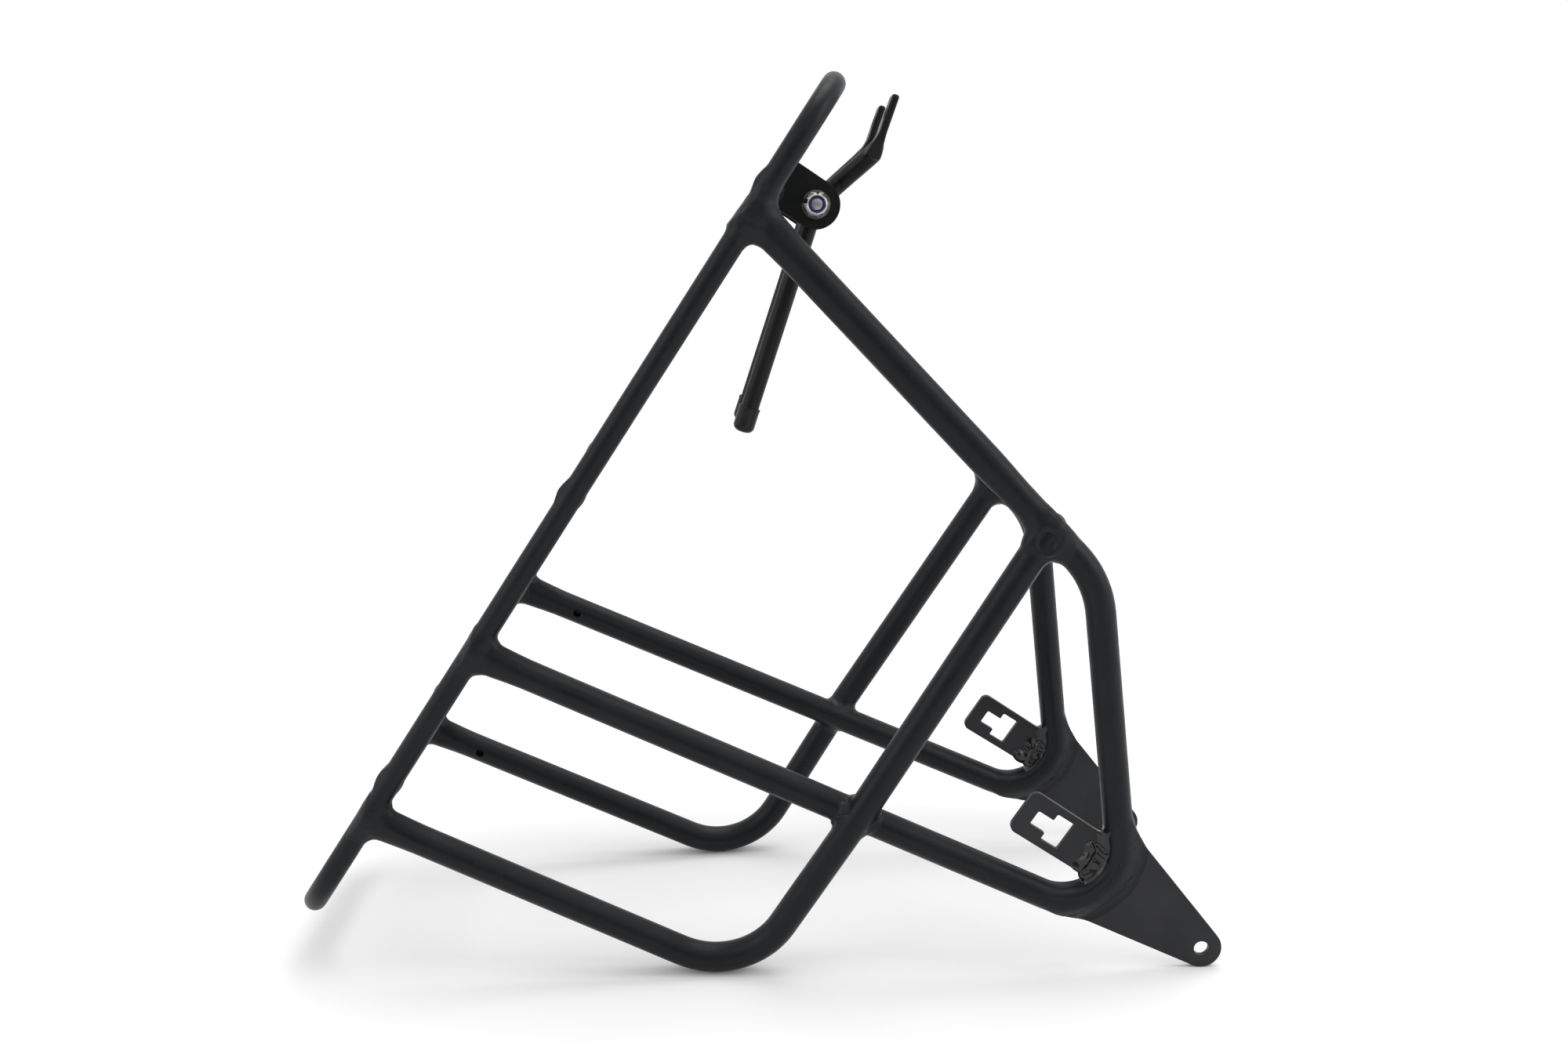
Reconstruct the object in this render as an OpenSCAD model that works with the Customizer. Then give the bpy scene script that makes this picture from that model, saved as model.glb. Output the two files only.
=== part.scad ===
// Bicycle rear luggage carrier, standing on its side-rail bends and its dropout plate tips.
// Carrier axes: x runs forward along the platform from its front end tube, y runs to the
// left of the bicycle, z runs up from the platform. Every part is drawn in these axes and
// then tilted into the standing pose by standing().

/* [Platform] */
// Length between the centres of the front and rear end tubes
platform_length = 430; // [400:1:460]
// Width between the centres of the two side tubes
platform_width = 116; // [108:1:124]
// Diameter of the platform tube and of the cross tubes
platform_tube_d = 10; // [9:0.5:11]
// Centre-line radius of the platform corners
platform_corner_r = 28; // [22:1:34]
// Distance from the front end tube to the first cross tube
first_cross_tube = 50; // [48:1:51]
// Distance between neighbouring cross tubes
cross_tube_pitch = 151; // [140:1:156]

/* [Legs and side rails] */
// Diameter of the leg and side-rail tubes
frame_tube_d = 13; // [12:0.5:13.5]
// Wall thickness of every tube
tube_wall = 1.5; // [1:0.1:2]
// Centre-line radius of each leg's shallow bend
shallow_bend_r = 44; // [34:1:60]
// Centre-line radius of each leg's tight bend, which the dropout plate is welded to
leg_bend_r = 24; // [22:1:26]
// Centre-line radius of each side rail's bend
rail_bend_r = 36; // [30:1:40]
// Outward lean of each leg and its dropout plate from upright, in degrees
leg_splay = 1.7; // [0:0.1:3]
// How far each side rail stands outside the leg where they cross
rail_offset = 6.2; // [5:0.1:8]
// Diameter of the vent holes near the tube ends
vent_d = 4; // [3:0.5:5]

/* [Dropout plates and strap tabs] */
// Thickness of the dropout plates and the strap tabs
sheet_thickness = 3; // [2.5:0.5:4]
// Diameter of the mounting hole in each dropout plate
dropout_hole_d = 6.6; // [5.5:0.1:7]
// Radius of the rounded tip of each dropout plate
dropout_tip_r = 9; // [8:0.5:11]
// Width of the strap tab
tab_width = 21; // [20:0.5:23]
// Width of the narrow part of the strap slot
slot_narrow = 7; // [5:0.5:8]
// Width of the wide part of the strap slot
slot_wide = 13.6; // [11:0.2:15]

/* [Stays] */
// Diameter of the stay rods
stay_rod_d = 8; // [7:0.5:8]
// Distance from the middle of the carrier to the middle of each stay
stay_spacing = 17.5; // [17:0.5:18.5]
// Length of each stay's tail, from the pivot to the rod's cut end
stay_tail = 102; // [80:1:112]
// Length of each stay's arm, from the pivot to its bend
stay_arm = 33; // [30:1:38]
// Length of the flattened blade
blade_length = 24; // [20:1:30]
// Diameter of the hole in the blade
blade_hole_d = 5.5; // [5:0.1:6]
// Nominal diameter of the pivot bolt
bolt_d = 6; // [5:0.5:6]

/* [Hidden] */

$fn = 64;
LEFT = 1;
RIGHT = -1;

half_width = platform_width / 2;
platform_r = platform_tube_d / 2;
frame_r = frame_tube_d / 2;
bead = 2.2;
small_bead = 1.2;
past = 1;
bend_lap = 0.1;
bend_swell = 0.1;

// Leg loop, in the leg's own plane: distance back from the front end tube and drop below it
leg_front_top = [-62, 0];
leg_shallow_bend = [-110, -206];
leg_tight_bend = [-233, -310];
leg_rear_top = [-282, 0];

// Side rail: distance back, distance out from the middle, drop below the platform
rail_drop = 178;
rail_front = [-102, half_width + 5, -176];
rail_cross_x = -254;
rail_cross = [rail_cross_x, half_width + rail_drop * tan(leg_splay) + rail_offset, -rail_drop];
rail_bend = [-346, half_width + 4.5, -180];
rail_top = [-372, half_width, 0];
rail_kink_r = 90;

// Dropout plate hole, in the leg's plane
dropout_hole = [-222, -343];
plate_front_corners = [[-195.7, -291.4], [-193, -281.4]];
plate_rear_corners = [[-239.5, -272.9], [-241.3, -278.9]];

// Strap tab, in the leg's plane
tab_x = -212;
tab_free_end = -237.5;
tab_corner_r = 3.5;
slot_start = -244.5;
slot_step = -252.5;
slot_end = -261.5;

// Stay pivot
pivot = [-44.4, -21];
bracket_r = 10.5;
bracket_inner = 22;
bracket_sheet = 3;
eye_half = 2.5;
eye_r = 7;
flat_reach = 12.5;
rod_r = stay_rod_d / 2;
tail_drop = 15.2;
arm_drop = 15.6;
blade_rise = 14;
arm_flare = 11;
flare_start = 14;
blade_thick = 3.1;
blade_width = 13;
neck_length = 6;
running_clearance = 0.08;
cap_wall = 0.9;
cap_length = 11.5;
cap_grip = 10;

// Pivot hardware
washer_r = 6.3;
washer_thick = 1.6;
face_gap = 0.1;
bolt_r = bolt_d / 2;
nut_flats = 10;
nut_hex_height = 4.4;
nut_height = 6;
nut_collar_r = 4.3;
ring_r = 3.6;
ring_height = 1.5;
head_height = 4;
bracket_outer = bracket_inner + bracket_sheet;
clamp_face = bracket_outer + washer_thick;

function unit(v) = v / norm(v);
function turn(a, p, b) = acos(unit(p - a) * unit(b - p));
function reach(a, p, b, r) = r * tan(turn(a, p, b) / 2);
function bend_centre(a, p, b, r) =
  p + unit(unit(b - p) - unit(p - a)) * r / cos(turn(a, p, b) / 2);
function lift(p) = [p[0], 0, p[1]];
function longer(path, by) = [
  for (i = [0 : len(path) - 1])
    i == 0 ? path[0] - unit(path[1] - path[0]) * by
    : i == len(path) - 1 ? path[i] + unit(path[i] - path[i - 1]) * by
    : path[i]
];

// Standing pose: the tilt at which the rail bends and the plate tips touch one floor
leg_path = [for (p = [leg_front_top, leg_shallow_bend, leg_tight_bend, leg_rear_top]) lift(p)];
leg_radii = [0, shallow_bend_r, leg_bend_r, 0];
rail_path = [rail_front, rail_cross, rail_bend, rail_top];
rail_radii = [0, rail_kink_r, rail_bend_r, 0];
foot_centre = bend_centre(rail_cross, rail_bend, rail_top, rail_bend_r);
foot_r = rail_bend_r + frame_r + bend_swell;
tip_drop = -dropout_hole[1] * cos(leg_splay);
foot_dx = dropout_hole[0] - foot_centre[0];
foot_dz = -tip_drop - foot_centre[2];
tilt = atan2(-foot_dz, foot_dx) - asin((foot_r - dropout_tip_r) / norm([foot_dx, foot_dz]));
function tilted_x(x, z) = x * cos(tilt) - z * sin(tilt);
function tilted_z(x, z) = x * sin(tilt) + z * cos(tilt);
floor_z = tilted_z(dropout_hole[0], -tip_drop) - dropout_tip_r;
low_x = tilted_x(-platform_length, 0) - platform_r;
high_x = tilted_x(dropout_hole[0], -tip_drop) + dropout_tip_r;

// Tight leg bend, for what is welded to it
leg_bend_centre = bend_centre(leg_path[1], leg_path[2], leg_path[3], leg_bend_r);
bend_middle = [leg_bend_centre[0], leg_bend_centre[2]];

module standing() {
  translate([-(low_x + high_x) / 2, 0, -floor_z])
    rotate([0, -tilt, 0])
      children();
}

// The plane that one side's leg, dropout plate and strap tab lie in
module leg_plane(side) {
  translate([0, side * half_width, 0])
    rotate([side * leg_splay, 0, 0])
      children();
}

// A part drawn for the left side, mirrored for the right
module for_side(side) {
  if (side == LEFT)
    children();
  else
    mirror([0, 1, 0])
      children();
}

module rod_between(a, b, r) {
  d = b - a;
  translate(a)
    rotate([0, acos(d[2] / norm(d)), atan2(d[1], d[0])])
      cylinder(h = norm(d), r = r);
}

// Bends are 0.1 mm fuller than the straights and lap them by 0.1 mm, so that the two join cleanly
module bend_at(a, p, b, bend_r, r) {
  centre = bend_centre(a, p, b, bend_r);
  start = unit(p - unit(p - a) * reach(a, p, b, bend_r) - centre);
  axis = unit(cross(p - a, b - p));
  along = cross(axis, start);
  lap = bend_lap / bend_r * 180 / PI;
  multmatrix([
    [start[0], along[0], axis[0], centre[0]],
    [start[1], along[1], axis[1], centre[1]],
    [start[2], along[2], axis[2], centre[2]],
    [0, 0, 0, 1]
  ])
    rotate([0, 0, -lap])
      rotate_extrude(angle = turn(a, p, b) + 2 * lap)
        translate([bend_r, 0])
          circle(r = r + bend_swell);
}

// A solid round bar along a path, with a bend at each inner point
module bar_along(path, radii, r) {
  last = len(path) - 1;
  for (i = [0 : last - 1]) {
    d = unit(path[i + 1] - path[i]);
    from = i == 0 ? 0 : reach(path[i - 1], path[i], path[i + 1], radii[i]);
    to = i == last - 1 ? 0 : reach(path[i], path[i + 1], path[i + 2], radii[i + 1]);
    rod_between(path[i] + d * from, path[i + 1] - d * to, r);
  }
  for (i = [1 : last - 1])
    bend_at(path[i - 1], path[i], path[i + 1], radii[i], r);
}

module tube_along(path, radii, r) {
  difference() {
    bar_along(path, radii, r);
    bar_along(longer(path, past), radii, r - tube_wall);
  }
}

module side_tube_bar(side, r) {
  translate([past, side * half_width, 0])
    rotate([0, -90, 0])
      cylinder(h = platform_length + 2 * past, r = r);
}

module cross_bar(x, r) {
  translate([x, half_width, 0])
    rotate([90, 0, 0])
      cylinder(h = platform_width, r = r);
}

module platform_bar(r) {
  front = -platform_corner_r;
  rear = platform_corner_r - platform_length;
  inner = half_width - platform_corner_r;
  for (side = [LEFT, RIGHT]) {
    rod_between([front, side * half_width, 0], [rear, side * half_width, 0], r);
    translate([front, side * inner, 0])
      rotate([0, 0, side == LEFT ? 0 : -90])
        rotate_extrude(angle = 90)
          translate([platform_corner_r, 0])
            circle(r = r);
    translate([rear, side * inner, 0])
      rotate([0, 0, side == LEFT ? 90 : 180])
        rotate_extrude(angle = 90)
          translate([platform_corner_r, 0])
            circle(r = r);
  }
  for (x = [0, -platform_length])
    rod_between([x, -inner, 0], [x, inner, 0], r);
}

module platform_loop() {
  color("#26282b")
    standing()
      difference() {
        platform_bar(platform_r);
        platform_bar(platform_r - tube_wall);
      }
}

function cross_x(i) = -first_cross_tube - i * cross_tube_pitch;

module cross_tube(i) {
  color("#292b2e")
    standing()
      difference() {
        cross_bar(cross_x(i), platform_r);
        cross_bar(cross_x(i), platform_r - tube_wall);
        for (side = [LEFT, RIGHT])
          side_tube_bar(side, platform_r);
      }
}

// Cuts a tube's upper end to sit under the platform's side tube
module platform_cope(side) {
  side_tube_bar(side, platform_r);
  translate([-platform_length, side * half_width - frame_tube_d, -platform_r / 3])
    cube([platform_length, 2 * frame_tube_d, 2 * frame_tube_d]);
}

module vent(side, x, drop) {
  translate([x, side * half_width, -drop])
    rotate([side * 90, 0, 0])
      cylinder(h = frame_tube_d, d = vent_d);
}

module leg_bar(side, r) {
  leg_plane(side)
    bar_along(leg_path, leg_radii, r);
}

module rail_bar(side, r) {
  for_side(side)
    bar_along(rail_path, rail_radii, r);
}

module leg_loop(side) {
  color("#222427")
    standing()
      difference() {
        leg_plane(side)
          tube_along(leg_path, leg_radii, frame_r);
        platform_cope(side);
        rail_bar(side, frame_r);
        vent(side, -276.5, 34);
      }
}

module side_rail(side) {
  color("#25272a")
    standing()
      difference() {
        for_side(side)
          tube_along(rail_path, rail_radii, frame_r);
        platform_cope(side);
        leg_front_bar(side, frame_r);
        vent(side, -367.5, 31);
      }
}

// The leg's upper stretch, which the side rail's front end is coped to
module leg_front_bar(side, r) {
  leg_plane(side)
    bar_along([leg_path[0], leg_path[1], leg_path[2]], leg_radii, r);
}

module sheet() {
  rotate([90, 0, 0])
    linear_extrude(height = sheet_thickness, center = true)
      children();
}

function turned(v, a) = [v[0] * cos(a) - v[1] * sin(a), v[0] * sin(a) + v[1] * cos(a)];
// Where a line from point p meets the plate's round tip, a hair inside it
function tip_tangent(p, side) =
  let(d = p - dropout_hole, r = dropout_tip_r - 0.05)
  dropout_hole + r * turned(unit(d), side * acos(r / norm(d)));

module dropout_outline() {
  seat = [for (a = [310 : -10 : 210]) bend_middle + leg_bend_r * [cos(a), sin(a)]];
  polygon(concat(
    [tip_tangent(plate_front_corners[0], -1)], plate_front_corners, seat,
    plate_rear_corners, [tip_tangent(plate_rear_corners[1], 1)]
  ));
  translate(dropout_hole)
    circle(r = dropout_tip_r);
}

module dropout_plate(side) {
  color("#2a2c30")
    standing()
      difference() {
        leg_plane(side)
          sheet()
            difference() {
              dropout_outline();
              translate(dropout_hole)
                circle(d = dropout_hole_d);
            }
        leg_bar(side, frame_r);
      }
}

module tab_outline() {
  half = tab_width / 2;
  difference() {
    union() {
      translate([tab_x - half, bend_middle[1]])
        square([tab_width, tab_free_end - bend_middle[1] - tab_corner_r]);
      translate([tab_x - half + tab_corner_r, tab_free_end - 2 * tab_corner_r])
        square([tab_width - 2 * tab_corner_r, 2 * tab_corner_r]);
      for (s = [-1, 1])
        translate([tab_x + s * (half - tab_corner_r), tab_free_end - tab_corner_r])
          circle(r = tab_corner_r);
      // its root ends inside the tube's bend
      intersection() {
        translate([tab_x - half, bend_middle[1] - leg_bend_r])
          square([tab_width, leg_bend_r]);
        translate(bend_middle)
          circle(r = leg_bend_r);
      }
    }
    translate([tab_x - slot_narrow / 2, slot_step - past])
      square([slot_narrow, slot_start - slot_step + past]);
    translate([tab_x - slot_wide / 2, slot_end])
      square([slot_wide, slot_step - slot_end]);
  }
}

module strap_tab(side) {
  color("#2c2e31")
    standing()
      difference() {
        leg_plane(side)
          sheet()
            tab_outline();
        leg_bar(side, frame_r);
      }
}

// Stay bracket: a tongue that hangs from the front cross tube
module bracket_plate(side) {
  y = side * (bracket_inner + bracket_sheet / 2);
  color("#1f2124")
    standing()
      difference() {
        translate([0, y, 0])
          rotate([90, 0, 0])
            linear_extrude(height = bracket_sheet, center = true)
              difference() {
                union() {
                  translate(pivot)
                    circle(r = bracket_r);
                  translate([pivot[0] - bracket_r, pivot[1]])
                    square([2 * bracket_r, -pivot[1]]);
                }
                translate(pivot)
                  circle(r = bolt_r + 0.2);
              }
        cross_bar(cross_x(0), platform_r);
      }
}

module below_platform() {
  translate([-platform_length, -platform_width, -3 * frame_tube_d])
    cube([platform_length, 2 * platform_width, 3 * frame_tube_d]);
}

module bracket_root(side, grow) {
  translate([cross_x(0), side * (bracket_inner + bracket_sheet / 2), 0])
    rotate([90, 0, 0])
      cylinder(h = bracket_sheet + 2 * grow, r = platform_r + grow, center = true);
}

module platform_weld_beads() {
  color("#303236")
    standing()
      difference() {
        union() {
          for (i = [0 : 2], side = [LEFT, RIGHT])
            intersection() {
              cross_bar(cross_x(i), platform_r + small_bead);
              side_tube_bar(side, platform_r + small_bead);
              translate([-platform_length, side > 0 ? 0 : -half_width, -frame_tube_d])
                cube([platform_length, half_width, 2 * frame_tube_d]);
            }
          intersection() {
            for (side = [LEFT, RIGHT])
              bracket_root(side, small_bead);
            translate([0, 0, -past])
              below_platform();
          }
        }
        for (i = [0 : 2])
          cross_bar(cross_x(i), platform_r);
        for (side = [LEFT, RIGHT]) {
          side_tube_bar(side, platform_r);
          leg_front_bar(side, frame_r);
          translate([-platform_length, side * bracket_inner - (side > 0 ? 0 : bracket_sheet), pivot[1]])
            cube([platform_length + pivot[0] + bracket_r, bracket_sheet, -pivot[1]]);
        }
      }
}

module leg_weld(side, r) {
  // ends on the platform
  intersection() {
    union() {
      leg_plane(side) {
        rod_between(leg_path[0], leg_path[1], r);
        rod_between(leg_path[3], leg_path[2], r);
      }
      for_side(side)
        rod_between(rail_top, rail_bend, r);
    }
    side_tube_bar(side, platform_r + 1.6 * bead);
    translate([0, 0, -platform_r / 3])
      below_platform();
  }
}

module rail_weld(side, r) {
  // the rail's front end on the leg, and the crossing
  intersection() {
    for_side(side)
      rod_between(rail_front, rail_cross, r);
    leg_plane(side)
      union() {
        rod_between(leg_path[0], leg_path[1], r);
        rod_between(leg_path[3], leg_path[2], r);
      }
  }
}

// Along the tight bend: the dropout plate's weld outside it, the strap tab's inside it
module bend_weld(side) {
  leg_plane(side)
    intersection() {
      bend_at(leg_path[1], leg_path[2], leg_path[3], leg_bend_r, frame_r + small_bead);
      rotate([90, 0, 0])
        linear_extrude(height = sheet_thickness + 2 * bead, center = true) {
          difference() {
            translate(bend_middle)
              rotate(222)
                square(2 * leg_bend_r);
            translate(bend_middle)
              circle(r = leg_bend_r);
          }
          intersection() {
            translate([tab_x - tab_width / 2, bend_middle[1] - leg_bend_r])
              square([tab_width, leg_bend_r]);
            translate(bend_middle)
              circle(r = leg_bend_r);
          }
        }
    }
}

module weld_beads(side) {
  color("#313337")
    standing()
      difference() {
        union() {
          leg_weld(side, frame_r + bead);
          rail_weld(side, frame_r + bead);
          bend_weld(side);
        }
        leg_bar(side, frame_r);
        rail_bar(side, frame_r);
        side_tube_bar(side, platform_r);
        cross_bar(cross_x(0), platform_r + small_bead);
        leg_plane(side)
          sheet() {
            dropout_outline();
            tab_outline();
          }
      }
}

module on_pivot() {
  standing()
    translate([pivot[0], 0, pivot[1]])
      rotate([90, 0, 0])
        children();
}

// On the pivot axis, +z of the hardware runs to the right side of the carrier
module pivot_bolt() {
  tip = clamp_face + nut_height + 0.4;
  color("#b9bcc0")
    on_pivot() {
      translate([0, 0, -clamp_face])
        cylinder(h = clamp_face + tip - 0.8, r = bolt_r);
      translate([0, 0, tip - 0.8])
        cylinder(h = 0.8, r1 = bolt_r, r2 = bolt_r - 0.6);
      translate([0, 0, -clamp_face - head_height])
        cylinder(h = head_height, r = nut_flats / 2 / cos(30), $fn = 6);
    }
}

module pivot_nut() {
  color("#c3c6ca")
    on_pivot()
      translate([0, 0, clamp_face])
        difference() {
          union() {
            intersection() {
              rotate(90 - tilt)
                cylinder(h = nut_hex_height, r = nut_flats / 2 / cos(30), $fn = 6);
              cylinder(h = 2 * nut_hex_height, r1 = nut_flats / 2 + 2.4, r2 = nut_flats / 2 - 1.6);
            }
            cylinder(h = nut_height, r = nut_collar_r);
          }
          translate([0, 0, -past])
            cylinder(h = nut_height + 2 * past, r = bolt_r);
          translate([0, 0, nut_height - ring_height])
            cylinder(h = ring_height + past, r = ring_r);
        }
}

module nut_nylon_ring() {
  color("#2b2f8c")
    on_pivot()
      translate([0, 0, clamp_face + nut_height - ring_height])
        difference() {
          cylinder(h = ring_height - 0.2, r = ring_r);
          translate([0, 0, -past])
            cylinder(h = ring_height + 2 * past, r = bolt_r);
        }
}

module washer(thick) {
  difference() {
    cylinder(h = thick, r = washer_r);
    translate([0, 0, -past])
      cylinder(h = thick + 2 * past, r = bolt_r + 0.2);
  }
}

module outer_washers() {
  color("#c9ccd0")
    on_pivot()
      for (z = [bracket_outer, -clamp_face])
        translate([0, 0, z])
          washer(washer_thick);
}

module inner_washers() {
  eye_face = stay_spacing + eye_half;
  color("#3a3c40")
    on_pivot()
      for (z = [eye_face + face_gap, -bracket_inner])
        translate([0, 0, z])
          washer(bracket_inner - eye_face - face_gap);
}

module pivot_spacer() {
  half = stay_spacing - eye_half - face_gap;
  color("#3a3c40")
    on_pivot()
      difference() {
        cylinder(h = 2 * half, r = 5, center = true);
        cylinder(h = 2 * half + 2 * past, r = bolt_r + 0.1, center = true);
      }
}

// Stay, drawn about the pivot for the left side: x forward, y out, z up
tail_dir = [-cos(tail_drop), 0, -sin(tail_drop)];
arm_dir = [cos(arm_drop), 0, -sin(arm_drop)];
blade_dir = [cos(blade_rise), 0, sin(blade_rise)];
arm_end = arm_dir * stay_arm + [0, arm_flare, 0];
stay_path = [tail_dir * stay_tail, [0, 0, 0], arm_dir * flare_start, arm_end];
stay_radii = [0, 12, 8, 0];

module on_stay(side) {
  standing()
    translate([pivot[0], side * stay_spacing, pivot[1]])
      for_side(side)
        children();
}

// The flattened end, from the end of the arm: a neck that thins and widens, then the blade
module blade() {
  translate(arm_end)
    rotate([0, -blade_rise, 0]) {
      intersection() {
        rotate([90, 0, 0])
          linear_extrude(height = blade_width, center = true)
            polygon([
              [-rod_r / 2, -rod_r * 0.8], [neck_length, -blade_thick / 2],
              [neck_length, blade_thick / 2], [-rod_r / 2, rod_r * 0.8]
            ]);
        linear_extrude(height = stay_rod_d, center = true)
          polygon([
            [-rod_r / 2, -rod_r * 0.9], [neck_length, -blade_width / 2],
            [neck_length, blade_width / 2], [-rod_r / 2, rod_r * 0.9]
          ]);
      }
      difference() {
        translate([neck_length, -blade_width / 2, -blade_thick / 2])
          cube([blade_length - neck_length, blade_width, blade_thick]);
        translate([blade_length - 8, 0, -blade_thick])
          cylinder(h = 2 * blade_thick, d = blade_hole_d);
      }
    }
}

module stay_rod(side) {
  color("#232528")
    on_stay(side)
      difference() {
        union() {
          difference() {
            bar_along(stay_path, stay_radii, rod_r);
            for (s = [-1, 1])
              translate([0, s * (eye_half + rod_r), 0])
                rotate([90, 0, 0])
                  cylinder(h = 2 * rod_r, r = flat_reach, center = true);
          }
          rotate([90, 0, 0])
            cylinder(h = 2 * eye_half, r = eye_r, center = true);
          blade();
        }
        rotate([90, 0, 0])
          cylinder(h = 4 * eye_half, r = bolt_r + running_clearance, center = true);
      }
}

module stay_cap(side) {
  cap_r = rod_r + cap_wall;
  round_r = 3;
  color("#17181a")
    on_stay(side)
      translate(tail_dir * (stay_tail - cap_grip))
        rotate([0, -90 - tail_drop, 0])
          rotate_extrude()
            difference() {
              union() {
                square([cap_r, cap_length - round_r]);
                square([cap_r - round_r, cap_length]);
                translate([cap_r - round_r, cap_length - round_r])
                  intersection() {
                    circle(r = round_r);
                    square(round_r);
                  }
              }
              square([rod_r, cap_grip]);
            }
}

platform_loop();
cross_tube(0);  // cross_tube_front
cross_tube(1);  // cross_tube_middle
cross_tube(2);  // cross_tube_rear
leg_loop(LEFT);  // left_leg_loop
leg_loop(RIGHT);  // right_leg_loop
side_rail(LEFT);  // left_side_rail
side_rail(RIGHT);  // right_side_rail
dropout_plate(LEFT);  // left_dropout_plate
dropout_plate(RIGHT);  // right_dropout_plate
strap_tab(LEFT);  // left_strap_tab
strap_tab(RIGHT);  // right_strap_tab
bracket_plate(LEFT);  // left_bracket_plate
bracket_plate(RIGHT);  // right_bracket_plate
platform_weld_beads();
weld_beads(LEFT);  // left_weld_beads
weld_beads(RIGHT);  // right_weld_beads
pivot_bolt();
pivot_nut();
nut_nylon_ring();
outer_washers();
inner_washers();
pivot_spacer();
stay_rod(LEFT);  // left_stay_rod
stay_rod(RIGHT);  // right_stay_rod
stay_cap(LEFT);  // left_stay_cap
stay_cap(RIGHT);  // right_stay_cap
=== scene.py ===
"""Bicycle rear luggage carrier in black powder coat, standing on its rail bends and plate tips.

Pieces are made in carrier axes, in millimetres: x runs forward and is 0 at the platform's front end
tube, y runs to the left, z up from the platform. put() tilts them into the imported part's pose.
Each leg, with its plate and tab, lies in a plane of its own that leans outward by SPLAY. Points in
that plane are (x, out, z), and in_leg_plane() turns them into carrier axes.
"""

import math

import bmesh
import bpy
import numpy as np
from mathutils import Matrix, Vector


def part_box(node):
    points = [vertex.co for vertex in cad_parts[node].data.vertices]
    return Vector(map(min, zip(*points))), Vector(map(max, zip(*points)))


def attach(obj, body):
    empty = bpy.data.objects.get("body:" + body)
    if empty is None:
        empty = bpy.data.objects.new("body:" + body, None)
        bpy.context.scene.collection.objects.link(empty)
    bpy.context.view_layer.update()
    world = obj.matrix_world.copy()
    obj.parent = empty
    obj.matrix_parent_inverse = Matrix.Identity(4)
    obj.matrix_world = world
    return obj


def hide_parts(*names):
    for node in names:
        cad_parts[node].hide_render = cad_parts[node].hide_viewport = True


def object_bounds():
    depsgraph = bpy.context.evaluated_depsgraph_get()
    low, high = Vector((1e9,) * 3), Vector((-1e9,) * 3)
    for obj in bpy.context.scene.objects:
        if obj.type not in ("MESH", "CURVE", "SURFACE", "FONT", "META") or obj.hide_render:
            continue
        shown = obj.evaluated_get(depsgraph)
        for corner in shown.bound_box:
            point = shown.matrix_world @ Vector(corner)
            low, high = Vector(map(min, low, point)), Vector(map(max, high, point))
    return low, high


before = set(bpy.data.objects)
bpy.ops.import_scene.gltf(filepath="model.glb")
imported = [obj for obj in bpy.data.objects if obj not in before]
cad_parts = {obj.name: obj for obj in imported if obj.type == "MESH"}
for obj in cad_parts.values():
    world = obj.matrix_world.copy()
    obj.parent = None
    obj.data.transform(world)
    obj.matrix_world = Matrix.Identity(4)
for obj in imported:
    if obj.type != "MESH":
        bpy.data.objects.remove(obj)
cad_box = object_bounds()

MM = 0.001
LEFT, RIGHT = 1, -1
SIDES = ((LEFT, "left"), (RIGHT, "right"))
ALONG_Y = np.array((0.0, 1.0, 0.0))

# Design sizes, the same as the CAD source's
PLATFORM_LENGTH, HALF_WIDTH, CORNER_R = 430.0, 58.0, 28.0
PLATFORM_R, FRAME_R = 5.0, 6.5
CROSS_X = (-50.0, -201.0, -352.0)
SPLAY = math.radians(1.7)
LEG_PATH = ((-62, 0), (-110, -206), (-233, -310), (-282, 0))
LEG_RADII = (0, 44, 24, 0)
TIGHT_R = LEG_RADII[2]
RAIL_PATH = ((-102, 63, -176), (-254, 69.48, -178), (-346, 62.5, -180), (-372, 58, 0))
RAIL_RADII = (0, 90, 36, 0)
SHEET = 3.0
HOLE, HOLE_R, TIP_R = (-222.0, -343.0), 3.3, 9.0
PLATE_FRONT = ((-195.7, -291.4), (-193.0, -281.4))
PLATE_REAR = ((-239.5, -272.9), (-241.3, -278.9))
TAB_X, TAB_END, TAB_WIDTH, TAB_CORNER = -212.0, -237.5, 21.0, 3.5
SLOT_START, SLOT_STEP, SLOT_END, SLOT_NARROW, SLOT_WIDE, SLOT_CORNER = -244.5, -252.5, -261.5, 7.0, 13.6, 0.8
PIVOT = (-44.4, -21.0)
BRACKET_R, BRACKET_IN, BRACKET_SHEET = 10.5, 22.0, 3.0
BOLT_R, WASHER_THICK = 3.0, 1.6
NUT_FLATS, NUT_HEX, NUT_HEIGHT, HEAD_HEIGHT = 10.0, 4.4, 6.0, 4.0
STAY_Y, EYE_HALF, EYE_R, BORE_R, ROD_R = 17.5, 2.5, 7.0, 3.08, 4.0
TAIL_DROP, ARM_DROP, RISE = (math.radians(a) for a in (15.2, 15.6, 14.0))
TAIL, ARM, FLARE, FLARE_START = 102.0, 33.0, 11.0, 14.0
BLADE_LONG, BLADE_NECK, BLADE_WIDE, BLADE_THICK, BLADE_HOLE, BLADE_HOLE_AT = 24.0, 6.0, 13.0, 3.1, 5.5, 16.0

# Sizes that only the picture gives
WASHER_R = 6.1
# A vent's cutter starts its ring at VENT_TURN degrees, off the tubes' own mesh lines
VENT_R, VENT_DEPTH, VENT_TURN = 2.0, 4.0, -73.3
LEG_VENT, RAIL_VENT, RAIL_VENT_OUT = (-276.5, -34.0), (-367.5, -31.0), 0.75
# Half-sizes of a tube pressed flatter under the platform, and the length over which it eases back
WIDE_END, THIN_END, SQUASH = 7.9, 4.6, 27.0
# The leg's front stretch is slightly oval, and round again between these distances from the platform
OVAL_WIDE, OVAL_THIN, OVAL_FROM, OVAL_TO = 7.1, 5.9, 140.0, 163.0

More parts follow.
